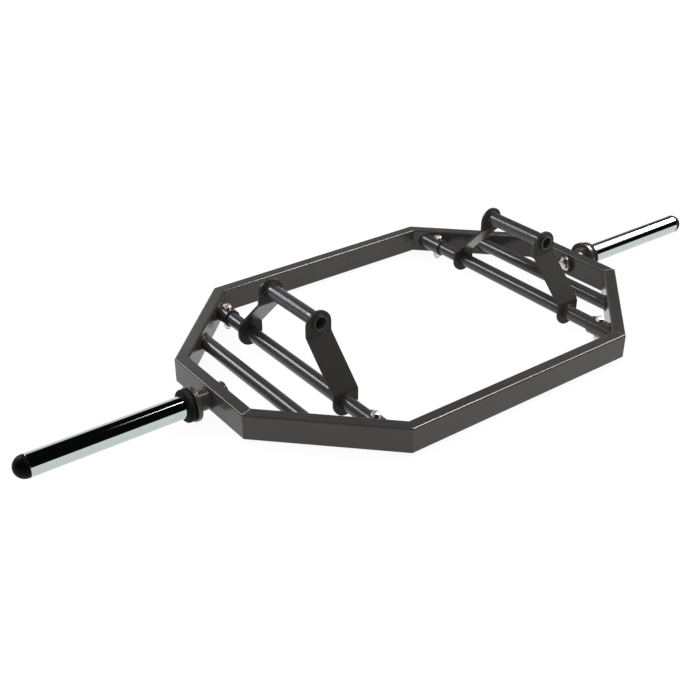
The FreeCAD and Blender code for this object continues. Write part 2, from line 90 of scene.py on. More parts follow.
class Half(Sign):
    """The frame's two halves, with the sign of their y."""

    FRONT = -1
    REAR = 1


class Axis(Enum):
    """Which of a turned shape's columns (cosine, sine, height) become x, y and z."""

    X = (2, 0, 1)
    Y = (1, 2, 0)
    Z = (0, 1, 2)


class Ends(Enum):
    """How a skin of rows ends: last row joined to first, a flat face or a pole at each end, or left open."""

    LOOP = "loop"
    FLAT = "flat"
    POLE = "pole"
    OPEN = "open"


class Relief(Enum):
    """The texture and output that give a relief its height: soft noise, or closely packed pits."""

    SOFT = ("TexNoise", "Fac")
    PITS = ("TexVoronoi", "Distance")


def to_linear(colour: str) -> tuple[float, float, float, float]:
    """Turns an sRGB hex colour into linear red, green, blue and alpha.

    Args:
        colour: the colour as "#rrggbb".

    Returns:
        The four linear channels.
    """
    channels = np.array([int(colour[start:start + 2], 16) for start in (1, 3, 5)]) / 255.0
    linear = np.where(channels <= 0.04045, channels / 12.92, ((channels + 0.055) / 1.055) ** 2.4)
    return (*linear.tolist(), 1.0)


def per_metre(size_mm: float) -> float:
    """Gives a texture's scale for features of that size in millimetres."""
    return 1.0 / (size_mm * MM)


@dataclass(frozen=True)
class Box:
    """A node's lowest and highest corner, in millimetres."""

    low: Array
    high: Array

    @classmethod
    def of(cls, node: str) -> "Box":
        """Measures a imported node."""
        low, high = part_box(node)
        return cls(np.array(low) / MM, np.array(high) / MM)

    @property
    def middle(self) -> Array:
        """The middle of the box."""
        return 0.5 * (self.low + self.high)

    @property
    def half(self) -> Array:
        """Half the size of the box."""
        return 0.5 * (self.high - self.low)

    @property
    def span(self) -> Triple:
        """The radius of a piece along x, and how far its ends are from the bar's middle, nearer one first."""
        return (self.half[1], *sorted(abs(float(x)) for x in (self.low[0], self.high[0])))


@dataclass
class Shell:
    """A mesh in the making."""

    points: Array  # one row of x, y and z per point, in millimetres
    faces: list[list[int]]  # the point numbers of each face, in the order that makes it look outwards

    def half_turned(self) -> "Shell":
        """Gives the shell turned half round the bar's upright middle line."""
        return Shell(self.points * (-1.0, -1.0, 1.0), self.faces)

    def placed(self, sign: Sign) -> "Shell":
        """Gives a shell made for the right end or the rear, half turned where the place is the other one."""
        return self if sign.value > 0 else self.half_turned()

    def moved(self, x: float, y: float, z: float) -> "Shell":
        """Gives the shell moved by that many millimetres."""
        return Shell(self.points + (x, y, z), self.faces)

    def welded(self) -> "Shell":
        """Gives the shell with coincident points merged into one."""
        points, number = np.unique(np.round(self.points, 4), axis=0, return_inverse=True)
        return Shell(points, [number.ravel()[face].tolist() for face in self.faces])


def join(shells: Sequence[Shell]) -> Shell:
    """Puts several shells into one.

    Args:
        shells: the shells, in order.

    Returns:
        One shell with all their points and faces.
    """
    starts = np.cumsum([0] + [len(shell.points) for shell in shells])
    faces = [[start + number for number in face]
             for shell, start in zip(shells, starts.tolist()) for face in shell.faces]
    return Shell(np.concatenate([shell.points for shell in shells]), faces)


def numbered(grid: Array) -> Array:
    """Gives the point numbers of a grid, rows by columns."""
    return np.arange(grid.shape[0] * grid.shape[1]).reshape(grid.shape[:2])


def grid_faces(number: Array) -> list[list[int]]:
    """Lists the quads of a grid of point numbers.

    A quad goes to the next column, then the next row and back, so it looks along the column direction
    crossed with the row direction.

    Args:
        number: the point numbers, rows by columns.

    Returns:
        Four point numbers per quad.
    """
    quads = np.stack([number[:-1, :-1], number[:-1, 1:], number[1:, 1:], number[1:, :-1]], axis=-1)
    return quads.reshape(-1, 4).tolist()


def sheet(grid: Array) -> Shell:
    """Covers a grid of points, rows by columns by x, y and z, with an open sheet."""
    return Shell(grid.reshape(-1, 3), grid_faces(numbered(grid)))


def skin(grid: Array, ends: Ends) -> Shell:
    """Covers rows of points that each run once round a piece.

    Args:
        grid: rows by columns by x, y and z; each row is a closed ring.
        ends: how the first and last rows end. At a pole all points of the row coincide.

    Returns:
        The shell.
    """
    rows, columns = grid.shape[:2]
    number = numbered(grid)
    if ends is Ends.LOOP:
        number = np.vstack([number, number[:1]])
    if ends is Ends.POLE:
        number = np.clip(number - columns + 1, 0, (rows - 2) * columns + 1)
    ringed = np.hstack([number, number[:, :1]])
    if ends is Ends.POLE:
        low, high = ringed[1], ringed[-2]
        fan_low = np.stack([0 * low[1:], low[1:], low[:-1]], axis=-1).tolist()
        fan_high = np.stack([high[:-1], high[1:], 0 * high[1:] + ringed[-1, 0]], axis=-1).tolist()
        points = np.concatenate([grid[0, :1], grid[1:-1].reshape(-1, 3), grid[-1, :1]])
        return Shell(points, fan_low + grid_faces(ringed[1:-1]) + fan_high)
    faces = grid_faces(ringed)
    if ends is Ends.FLAT:
        faces += [number[0, ::-1].tolist(), number[-1].tolist()]
    return Shell(grid.reshape(-1, 3), faces)


def rounded(corners: Sequence, radii: Sequence[float] | float, closed: bool = True, steps: int = 6) -> Array:
    """Rounds the corners of an outline or a path.

    An arc of radius r in a corner that turns by angle t touches both sides r tan(t / 2) from the corner.
    Its points are its centre plus r times the direction, at angles spread evenly over the turn. One more
    point on each side, close to the arc, keeps the flat beside it flat when it is shaded.

    Args:
        corners: the corners in order, two coordinates each.
        radii: one radius per corner, or one for all.
        closed: whether the last corner joins the first; an open path keeps its two end points.
        steps: spans of each arc.

    Returns:
        The points, two coordinates each.
    """
    corners = np.asarray(corners, float)
    radii = np.array(np.broadcast_to(radii, len(corners)), float)
    if not closed:
        radii[[0, -1]] = 0.0
    side = np.roll(corners, -1, axis=0) - corners
    length = np.linalg.norm(side, axis=1)
    after = side / length[:, None]
    before = np.roll(after, 1, axis=0)
    cross = before[:, 0] * after[:, 1] - before[:, 1] * after[:, 0]
    turn = np.arctan2(cross, (before * after).sum(axis=1))
    reach = radii * np.tan(np.abs(turn) / 2.0)
    hold_after = np.minimum(HOLD, HOLD_SHARE * (length - reach - np.roll(reach, -1)))
    hold_before = np.roll(hold_after, 1)
    start = corners - before * reach[:, None]
    inward = np.stack([-before[:, 1], before[:, 0]], axis=1) * np.sign(turn)[:, None]
    centre = start + inward * radii[:, None]
    first_angle = np.arctan2(-inward[:, 1], -inward[:, 0])
    angle = first_angle[:, None] + turn[:, None] * np.linspace(0.0, 1.0, steps + 1)
    arc = centre[:, None] + radii[:, None, None] * np.stack([np.cos(angle), np.sin(angle)], axis=-1)
    lead_in = start - before * hold_before[:, None]
    lead_out = corners + after * (reach + hold_after)[:, None]
    path = np.concatenate([lead_in[:, None], arc, lead_out[:, None]], axis=1)
    if closed:
        return path.reshape(-1, 2)
    return np.concatenate([corners[:1], path[1:-1].reshape(-1, 2), corners[-1:]])


def turn_angles(steps: int) -> Array:
    """Gives evenly spread angles round a full turn."""
    return np.linspace(0.0, FULL_TURN, steps, endpoint=False)


def turned(rows: Sequence[tuple], axis: Axis, steps: int, ends: Ends) -> Shell:
    """Turns a profile round an axis through the origin.

    The point at angle t is (r cos t, r sin t, h), where r and h may change with t. The profile runs up
    the outside, so that the faces look outwards.

    Args:
        rows: the profile's heights along the axis and the radii there, from its start to its end. Each is
            one number, a row of one per angle, a column of one per height, or both.
        axis: the axis that the heights lie on.
        steps: points in a full turn.
        ends: how the profile's ends are closed.

    Returns:
        The turned shell.
    """
    angle = turn_angles(steps)
    full = [np.broadcast_arrays(np.atleast_2d(height), np.atleast_2d(radius), angle)
            for height, radius in rows]
    height, radius, angle = (np.vstack(part) for part in zip(*full))
    grid = np.stack([radius * np.cos(angle), radius * np.sin(angle), height], axis=-1)
    return skin(grid[..., axis.value], ends)


def lathe(profile: Array, steps: int = TUBE_STEPS, ends: Ends = Ends.LOOP) -> Shell:
    """Turns a plain (radius, height) profile round the x axis, as turned() does."""
    return turned([(profile[:, 1:], profile[:, :1])], Axis.X, steps, ends)


def ring(bore: float, span: Triple, radii: Sequence[float] | float, spans: int = 6,
         steps: int = TUBE_STEPS) -> Shell:
    """Turns a rectangle with rounded corners round the x axis.

    Args:
        bore: radius of the hole.
        span: outer radius, and where the ring starts and ends.
        radii: roundings of its edges: bore and rim at its start, rim and bore at its end.
        spans: spans of each rounding.
        steps: points in a full turn.

    Returns:
        The closed shell.
    """
    radius, near, far = span
    outline = [(bore, near), (radius, near), (radius, far), (bore, far)]
    return lathe(rounded(outline, radii, steps=spans), steps)


def plain_tube(radius: float, half_length: float, slope: float = 0.0) -> Shell:
    """Builds a tube along y, which ends at half_length + slope r sin t at angle t, and likewise below.

    Args:
        radius: its outer radius r.
        half_length: half its length along its axis.
        slope: rise of its ends along the axis per millimetre across.

    Returns:
        The closed shell.
    """
    end = half_length + slope * radius * np.sin(turn_angles(TUBE_STEPS))
    return turned([(-end, radius), (end, radius)], Axis.Y, TUBE_STEPS, Ends.FLAT)


def hexagon(flats: float, from_face: Array, steps: int) -> Array:
    """Radius of a hexagon that a cone cuts off towards its end face.

    The hexagon's radius is half its flats divided by the cosine of the angle from the nearest flat's middle.
    The cone's grows by the root of three for each millimetre from the face. The smaller one counts.

    Args:
        flats: width across its flats.
        from_face: distances from the end face, rows by one.
        steps: points in a full turn.

    Returns:
        The radii, rows by steps.
    """
    sixth = math.pi / 3.0
    from_flat = (turn_angles(steps) + 0.5 * sixth) % sixth - 0.5 * sixth
    cone = 0.5 * flats * CONE_FACE + from_face * math.sqrt(3.0)
    return np.minimum(0.5 * flats / np.cos(from_flat), cone)


@dataclass(frozen=True)
class HexBolt:
    """A hexagon head bolt, standing on its seat at height 0 with its head upwards."""

    diameter: float  # of the shank
    flats: float  # width across the head's flats
    head: float  # height of the head
    length: float  # length below the seat
    threaded: float  # length of the thread from the bolt's end
    pitch: float  # height of one turn of the thread
    thread_depth: float = 0.6  # depth of the thread, in pitches
    thread_rows: int = 8  # rows of points per pitch
    point: float = 0.8  # bevel of the bolt's end, in pitches
    washer_face: float = 0.4  # height of the round face under the head
    corner_start: float = 0.5  # height at which the hexagon starts
    crown_rows: int = 9  # rows of points over the part that the cone cuts
    steps: int = 72

    def thread_radius(self, height: Array) -> Array:
        """Radius of the thread: it falls and rises once per pitch, shifted by one pitch round a full turn.

        Args:
            height: heights along the bolt, rows by one.

        Returns:
            The radii, rows by steps.
        """
        phase = (height / self.pitch - turn_angles(self.steps) / FULL_TURN) % 1.0
        fade = np.clip((height + self.length - self.threaded) / -self.pitch, 0.0, 1.0)
        return 0.5 * self.diameter - self.thread_depth * self.pitch * fade * np.abs(2.0 * phase - 1.0)

    def shell(self, axis: Axis) -> Shell:
        """Builds the bolt as one turned skin whose radius depends on angle and height.

        Args:
            axis: the axis that the bolt lies on, head towards its positive end.

        Returns:
            The closed shell.
        """
        shank, end = 0.5 * self.diameter, -self.length
        face = 0.5 * self.flats * CONE_FACE
        bevel = self.point * self.pitch
        thread = np.arange(end + bevel, end + self.threaded, self.pitch / self.thread_rows)[:, None]
        crown = np.linspace((1.0 - CONE_BAND) * self.head, self.head, self.crown_rows)
        crown = np.append(self.corner_start, crown)[:, None]
        rows = [(end, 0.0), (end, shank - bevel), (thread, self.thread_radius(thread)), (0.0, shank),
                (0.0, face), (self.washer_face, face),
                (crown, hexagon(self.flats, self.head - crown, self.steps)), (self.head, 0.0)]
        return turned(rows, axis, self.steps, Ends.POLE)

    def nut(self, height: float, axis: Axis, rows: int = 6) -> Shell:
        """Builds a nut for the bolt, from height 0 up: a hexagon round a bore, with a cone at both faces.

        Args:
            height: its height.
            axis: the axis that it lies on.
            rows: rows of points over each part that a cone cuts.

        Returns:
            The closed shell.
        """
        share = np.append(np.linspace(0.0, CONE_BAND, rows), np.linspace(1.0 - CONE_BAND, 1.0, rows))
        level = share[:, None] * height
        outside = hexagon(self.flats, np.minimum(level, height - level), self.steps)
        bore = 0.5 * self.diameter
        return turned([(level, outside), (height, bore), (0.0, bore)], axis, self.steps, Ends.LOOP)


@dataclass(frozen=True)
class WeldBead:
    """A rippled fillet bead round a tube."""

    size: float = 1.6  # radius of the bead, in millimetres
    ripple: float = 3.0  # spacing of its ripples, in millimetres
    ripple_steps: int = 8  # points along each ripple
    swell: float = 0.06  # how far a ripple stands out, as a share of the size
    trail: float = 0.5  # how far a ripple's edges trail behind its middle, as an angle of its phase
    round_steps: int = 12  # points round the bead

    def shell(self, tube_radius: float, axis: Axis, seat: float, slope: float, up: Triple) -> Shell:
        """Builds the bead along the seam of a tube and a flat face, the tube's axis at the origin.

        The seam at angle t is (R cos t, R sin t, seat + slope R sin t). Round it the bead's section is
        size (1 + swell |sin|) (cos v out + sin v up), where the ripple's phase trails at the bead's edges.

        Args:
            tube_radius: radius R of the tube.
            axis: the axis of the tube.
            seat: where the face crosses the axis.
            slope: rise of the face along the axis per millimetre along the sine direction.
            up: the way the face looks, as (cosine, sine, height) parts.

        Returns:
            The closed shell.
        """
        ripples = int(round(FULL_TURN * tube_radius / self.ripple))
        angle = -math.copysign(1.0, up[2]) * turn_angles(self.ripple_steps * ripples)[:, None]
        around = turn_angles(self.round_steps)[None, :]
        flat = 0.0 * around
        out = np.stack([np.cos(angle) + flat, np.sin(angle) + flat, 0.0 * angle + flat], axis=-1)
        seam = tube_radius * out
        seam[..., 2] = seat + slope * tube_radius * np.sin(angle)
        phase = 0.5 * ripples * angle + self.trail * np.cos(around)
        size = self.size * (1.0 + self.swell * np.abs(np.sin(phase)))[..., None]
        section = np.cos(around)[..., None] * out + np.sin(around)[..., None] * np.asarray(up, float)
        return skin((seam + size * section)[..., axis.value], Ends.LOOP)


def blank_tree(owner: bpy.types.Material | bpy.types.World) -> Tree:
    """Gives the emptied node tree of a material or a world.

    Args:
        owner: the material or the world.

    Returns:
        The tree.
    """
    owner.use_nodes = True
    owner.node_tree.nodes.clear()
    return owner.node_tree


def add_node(tree: Tree, kind: str, settings: dict | None = None,
             links: dict | None = None) -> bpy.types.Node:
    """Adds a shader node.

    Args:
        tree: the node tree.
        kind: the node's type, without its "ShaderNode" prefix.
        settings: values for its sockets, by name or number, and for its properties, by name.
        links: the sockets that feed its inputs, by input name or number.

    Returns:
        The node.
    """
    node = tree.nodes.new("ShaderNode" + kind)
    for key, value in (settings or {}).items():
        if isinstance(key, int) or key in node.inputs:
            node.inputs[key].default_value = value
        else:
            setattr(node, key, value)
    for key, source in (links or {}).items():
        tree.links.new(source, node.inputs[key])
    return node


@dataclass(frozen=True)
class Finish:
    """A surface finish: two close tones, a roughness that wanders and a fine relief."""

    name: str  # the real material
    colour: str  # the lighter tone
    deep_colour: str  # the darker tone
    tone_mm: float  # size of the patches of tone
    roughness: Pair  # lowest and highest roughness
    relief_mm: float  # spacing of the relief
    relief_depth_mm: float  # height of the relief
    metallic: float = 0.0  # 1 for a metal
    sheen: float = 0.5  # strength of the reflection on what isn't metal, 0.5 for a common gloss
    lie: Triple = (1.0, 1.0, 1.0)  # how closely the patterns are packed along x, y and z
    relief: Relief = Relief.SOFT
    # The part of the noise's range that the tones are spread over.
    tone_spread: Pair = (0.3, 0.7)

    def material(self) -> bpy.types.Material:
        """Gives the finish's material, and makes it on first use.

        Returns:
            The material.
        """
        made = bpy.data.materials.get(self.name)
        if made:
            return made
        made = bpy.data.materials.new(self.name)
        tree = blank_tree(made)
        place = add_node(tree, "TexCoord").outputs["Object"]
        packed = add_node(tree, "Mapping", {"Scale": self.lie}, {"Vector": place}).outputs["Vector"]
        patches = {"Scale": per_metre(self.tone_mm), "Detail": 4.0}
        patch = add_node(tree, "TexNoise", patches, {"Vector": packed}).outputs["Fac"]
        spread = dict(zip(("From Min", "From Max"), self.tone_spread))
        tone = add_node(tree, "MapRange", spread, {"Value": patch}).outputs["Result"]
        tones = {"data_type": "RGBA", 6: to_linear(self.deep_colour), 7: to_linear(self.colour)}
        colour = add_node(tree, "Mix", tones, {0: tone}).outputs[2]
        limits = dict(zip(("To Max", "To Min"), self.roughness))
        roughness = add_node(tree, "MapRange", limits, {"Value": tone}).outputs["Result"]
        kind, output = self.relief.value
        grain = {"Scale": per_metre(self.relief_mm)}
        height = add_node(tree, kind, grain, {"Vector": packed}).outputs[output]
        depth = {"Strength": 1.0, "Distance": self.relief_depth_mm * MM}
        normal = add_node(tree, "Bump", depth, {"Height": height}).outputs["Normal"]
        body = {"Metallic": self.metallic, "Specular IOR Level": self.sheen}
        feeds = {"Base Color": colour, "Roughness": roughness, "Normal": normal}
        shader = add_node(tree, "BsdfPrincipled", body, feeds).outputs["BSDF"]
        add_node(tree, "OutputMaterial", links={"Surface": shader})
        return made


# Lines left by turning or polishing run round the bar's axis: close along x, drawn out round it.
TURNED_LIE = (1.0, 0.03, 0.03)

# The finish that goes with each material slot of the record.
FINISHES = {
    # Stoved satin enamel over steel tube: dark warm grey with a faint orange peel, so that highlights on the
    # tubes are bright lines with soft edges.
    "frame_paint": Finish("satin_stoved_enamel", "#413f3d", "#3c3a38", 70.0, (0.14, 0.20), 1.6, 0.0012,
                          sheen=0.36),
    # The grips and collars carry the same enamel, rubbed a little smoother by hands and plates.
    "grip_paint": Finish("hand_rubbed_enamel", "#3d3d3e", "#363637", 25.0, (0.12, 0.18), 1.2, 0.001,
                         sheen=0.45),
    "collar_paint": Finish("turned_collar_enamel", "#45423d", "#3d3a36", 30.0, (0.18, 0.24), 1.4, 0.001),
    # Bright chrome plate on ground tube: a cold mirror, with polishing lines too fine to see singly.
    "sleeve_chrome": Finish("bright_chrome_plate", "#bec8c5", "#b8c2bf", 30.0, (0.03, 0.05), 0.6, 0.00004,
                            metallic=1.0, lie=TURNED_LIE),
    # Moulded rubber: matt black, with a grain that breaks up every highlight.
    "ring_rubber": Finish("moulded_rubber", "#111110", "#0c0c0c", 12.0, (0.62, 0.78), 0.9, 0.02,
                          sheen=0.12, relief=Relief.PITS),
    # Moulded polyethylene: the caps' black, smoother than rubber and with a low sheen.
    "cap_plastic": Finish("moulded_polyethylene", "#050505", "#030303", 15.0, (0.42, 0.52), 0.5, 0.006,
                          sheen=0.06, relief=Relief.PITS),
    # Black nylon, turned: the bushes' dull black.
    "bush_nylon": Finish("turned_nylon", "#121212", "#0c0c0c", 6.0, (0.5, 0.6), 0.8, 0.004),
    # Oiled bronze, turned: the plain bearings' brown gold.
    "bearing_bronze": Finish("turned_bronze", "#b08a55", "#8f6d3f", 10.0, (0.3, 0.42), 0.7, 0.002,
                             metallic=1.0, lie=TURNED_LIE),
    # Bright zinc plate on steel: white metal that the passivation tints from straw to pale rose.
    "fastener_zinc": Finish("bright_zinc_plate", "#dcd4cf", "#cec4bd", 9.0, (0.28, 0.38), 0.9, 0.002,
                            metallic=1.0),
    # Turned steel, lightly oiled: grey, with fine lathe lines.
    "spindle_steel": Finish("turned_steel", "#a3a19c", "#8d8b87", 14.0, (0.28, 0.38), 0.5, 0.002,
                            metallic=1.0, lie=TURNED_LIE),
}
# On the flat plates of the arms the enamel reflects less and is a little rougher, so that they stay dark at a
# low angle; its two tones, darker than the frame enamel's, are painted shade on the arms.
PLATE_ENAMEL_WITH_PAINTED_SHADE = Finish("enamel_on_plate_painted_shade", "#3a3835", "#353330", 70.0, (0.19, 0.25), 1.6, 0.0012, sheen=0.10)
# Over the welds the enamel is rougher and reflects less, and its tones are much darker than the frame
# enamel's: painted shade in the seams, so that the beads show as dark rings.
WELD_ENAMEL_WITH_PAINTED_SHADE = Finish("weld_enamel_painted_shade", "#2a2927", "#232220", 8.0, (0.48, 0.60), 0.8, 0.004, sheen=0.25)


def add_object(name: str, shell: Shell, material: bpy.types.Material) -> bpy.types.Object:
    """Puts a shell into the scene.

    Args:
        name: the object's name.
        shell: its mesh.
        material: its material.

    Returns:
        The object.
    """
    mesh = bpy.data.meshes.new(name)
    mesh.from_pydata((shell.points * MM).tolist(), [], shell.faces)
    mesh.materials.append(material)
    item = bpy.data.objects.new(name, mesh)
    bpy.context.scene.collection.objects.link(item)
    return item


def add_piece(name: str, shell: Shell, slot: str, body: str, *nodes: str,
              finish: Finish | None = None) -> bpy.types.Object:
    """Puts a shell into the scene as a dressed piece that rides on a body.

    Args:
        name: the piece's name.
        shell: its mesh.
        slot: the record's material slot, which names its finish.
        body: the body that it moves with.
        nodes: the nodes that it stands for.
        finish: its finish, where that isn't the slot's own.

    Returns:
        The piece.
    """
    piece = add_object(name, shell, (finish or FINISHES[slot]).material())
    piece.data.shade_smooth()
    piece.data.set_sharp_from_angle(angle=CRISP_ANGLE)
    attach(piece, body)
    if nodes:
        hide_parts(*nodes)
    LOG.info("%s: %d faces, on %s", name, len(shell.faces), body)
    return piece


def add_welds(name: str, beads: Sequence[Shell], body: str) -> None:
    """Adds weld beads to a body, as one piece, in the weld enamel whose dark tones are painted shade."""
    add_piece(name, join(beads), "frame_paint", body, finish=WELD_ENAMEL_WITH_PAINTED_SHADE)


def dress_remaining_nodes() -> None:
    """Gives every node that still shows the finish of its own material slot."""
    for name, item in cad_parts.items():
        if item.hide_render:
            continue
        for place in item.material_slots:
            place.material = FINISHES[place.material.name].material()
        LOG.info("%s: node kept, dressed", name)


@dataclass
class Octagon:
    """The frame's welded octagon of rectangular tube, with its cross tubes and sleeve housings."""

    half_long: float  # half the outer length of the long rails
    half_width: float  # from the middle to the long rails' outer faces
    half_end: float  # half the outer length of the end rails
    end_face: float  # from the middle to the end rails' outer faces
    wall_width: float  # width of the tube's section, in plan
    low: float  # height of its underside
    high: float  # height of its top
    corner: float = 4.0  # rounding of the section's corners
    corner_spans: int = 8  # spans of each rounding
    seam_depth: float = 0.25  # depth of the dressed weld line at a mitre
    seam_width: float = 0.6  # half the width of that line
    bore_gap: float = 0.1  # play round a housing's bearings
    housing_edge: float = 0.8  # rounding of a housing's edges
    body: str = "frame"

    @classmethod
    def from_frame(cls) -> "Octagon":
        """Reads the octagon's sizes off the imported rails.

        Returns:
            The octagon.
        """
        front, end = Box.of("front_rail"), Box.of("right_end_rail")
        return cls(half_long=front.high[0], half_width=-front.low[1], half_end=end.high[1],
                   end_face=end.high[0], wall_width=front.high[1] - front.low[1],
                   low=front.low[2], high=front.high[2])

    def corners(self) -> Array:
        """Gives the eight outer corners in plan, counter-clockwise from the front right one.

        Returns:
            The corners, x and y each.
        """
        quarter = np.array([(self.half_long, -self.half_width), (self.end_face, -self.half_end)])
        right = np.concatenate([quarter, quarter[::-1] * (1.0, -1.0)])
        return np.concatenate([right, -right])

    def section(self) -> Array:
        """Gives the tube's outline: distance in from the outer face, and height."""
        width, low, high = self.wall_width, self.low, self.high
        return rounded([(0.0, low), (width, low), (width, high), (0.0, high)], self.corner,
                       steps=self.corner_spans)

    def rail(self, start: Array, end: Array) -> Shell:
        """Carries the section along one side of the octagon, between its two mitres.

        At a distance q in from the outer face a side is shorter by q tan(22.5 degrees) at each end. The
        last rows draw in a little, which leaves a fine groove where the weld was dressed flush. One more row
        beside the groove keeps the long faces straight when they are shaded.

        Args:
            start: the side's first outer corner.
            end: its second outer corner.

        Returns:
            The closed shell.
        """
        length = np.linalg.norm(end - start)
        along = (end - start) / length
        inward = np.array([-along[1], along[0]])
        section = self.section()
        middle = section.mean(axis=0)
        half_size = np.array([0.5 * self.wall_width, 0.5 * (self.high - self.low)])
        from_end = np.array([0.0, 0.5, 1.0, 2.0]) * self.seam_width
        inset = np.array([1.0, 0.25, 0.0, 0.0]) * self.seam_depth
        shrink = 1.0 - inset[:, None] / half_size
        drawn = middle + (section - middle) * np.concatenate([shrink, shrink[::-1]])[:, None]
        depth, height = drawn[..., 0], drawn[..., 1]
        mitre = depth[:len(inset)] * math.tan(math.pi / 8.0) + from_end[:, None]
        distance = np.concatenate([mitre, length - mitre[::-1]])
        plan = start + distance[..., None] * along + depth[..., None] * inward
        return skin(np.concatenate([plan, height[..., None]], axis=-1), Ends.FLAT)

    def add_rails(self) -> None:
        """Adds the eight rails."""
        names = ("front_right_diagonal", "right_end_rail", "rear_right_diagonal", "rear_rail",
                 "rear_left_diagonal", "left_end_rail", "front_left_diagonal", "front_rail")
        corners = self.corners()
        for name, start, end in zip(names, corners, np.roll(corners, -1, axis=0)):
            add_piece(f"{name}_painted", self.rail(start, end), "frame_paint", self.body, name)

    def diagonal_bead(self, tube: Box, side: Side, half: Half) -> Shell:
        """Builds the bead between a tube along y and the inner face of the diagonal that it ends at.

        Args:
            tube: the tube's box.
            side: the end of the bar.
            half: the half of the frame.

        Returns:
            The closed shell.
        """
        radius = tube.half[0]
        seat = half.value * (max(-tube.low[1], tube.high[1]) - radius)
        up = (0.0, -side.value * DIAGONAL, -half.value * DIAGONAL)
        bead = WeldBead().shell(radius, Axis.Y, seat, -float(side.value * half.value), up)
        return bead.moved(tube.middle[0], 0.0, tube.middle[2])

    def add_cross_tube(self, side: Side) -> None:
        """Adds a fixed low tube, whose ends follow the slope of the diagonals, and its two welds.

        Args:
            side: the end of the bar that it lies at.
        """
        node = f"{side.word}_cross_tube"
        box = Box.of(node)
        tube = plain_tube(box.half[0], box.high[1] - box.half[0], -float(side.value))
        tube = tube.moved(box.middle[0], 0.0, box.middle[2])
        add_piece(f"{node}_painted", tube, "frame_paint", self.body, node)
        add_welds(f"{node}_welds", [self.diagonal_bead(box, side, half) for half in Half], self.body)

    def add_housing(self, side: Side) -> None:
        """Adds a sleeve housing through its end rail, welded round both faces.

        Args:
            side: the end of the bar.
        """
        node = f"{side.word}_sleeve_housing"
        box = Box.of(node)
        radius, height = box.half[2], box.middle[2]
        bore = Box.of(f"{side.word}_outer_bearing").half[2] + self.bore_gap
        tube = ring(bore, (radius, *box.span[1:]), self.housing_edge)
        faces = ((self.end_face - self.wall_width, -1.0), (self.end_face, 1.0))
        beads = [WeldBead().shell(radius, Axis.X, face, 0.0, (0.0, 0.0, way)) for face, way in faces]
        tube, *beads = (shell.placed(side).moved(0.0, 0.0, height) for shell in (tube, *beads))
        add_piece(f"{node}_painted", tube, "frame_paint", self.body, node)
        add_welds(f"{node}_welds", beads, self.body)

    def build(self) -> None:
        """Adds the whole frame, with the welds between its sockets and the diagonals that carry them."""
        self.add_rails()
        for side in Side:
            self.add_cross_tube(side)
            self.add_housing(side)
            for half in Half:
                node = f"{half.word}_{side.word}_socket"
                add_welds(f"{node}_weld", [self.diagonal_bead(Box.of(node), side, half)], self.body)


@dataclass
class SocketFasteners:
    """The four bolts through the sockets, with their nuts."""

    bolt: HexBolt
    nut_height: float  # height of a nut
    seat: float  # height of the spot face under the bolts' heads
    nut_seat: float  # height of a nut's lower face
    across: Pair  # from the middle to the bolts, along x and y
    body: str = "frame"

    @classmethod
    def from_frame(cls) -> "SocketFasteners":
        """Reads the fasteners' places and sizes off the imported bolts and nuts.

        Returns:
            The fasteners.
        """
        bolts, nuts, tube = (Box.of(node) for node in ("socket_bolts", "socket_nuts", "right_pivot_tube"))
        flats, head = 18.0, 7.5
        seat = bolts.high[2] - head
        bolt = HexBolt(diameter=12.0, flats=flats, head=head, length=seat - bolts.low[2],
                       threaded=22.0, pitch=1.75)
        return cls(bolt=bolt, nut_height=nuts.high[2] - nuts.low[2], seat=seat, nut_seat=nuts.low[2],
                   across=(tube.middle[0], bolts.high[1] - 0.5 * flats))

    def build(self) -> None:
        """Adds the bolts and the nuts, each as one piece of four."""
        along, across = self.across
        places = [(side.value * along, half.value * across) for side in Side for half in Half]
        for node, shell, seat in (("socket_bolts", self.bolt.shell(Axis.Z), self.seat),
                                  ("socket_nuts", self.bolt.nut(self.nut_height, Axis.Z), self.nut_seat)):
            four = join([shell.moved(x, y, seat) for x, y in places])
            add_piece(f"{node}_plated", four, "fastener_zinc", self.body, node)


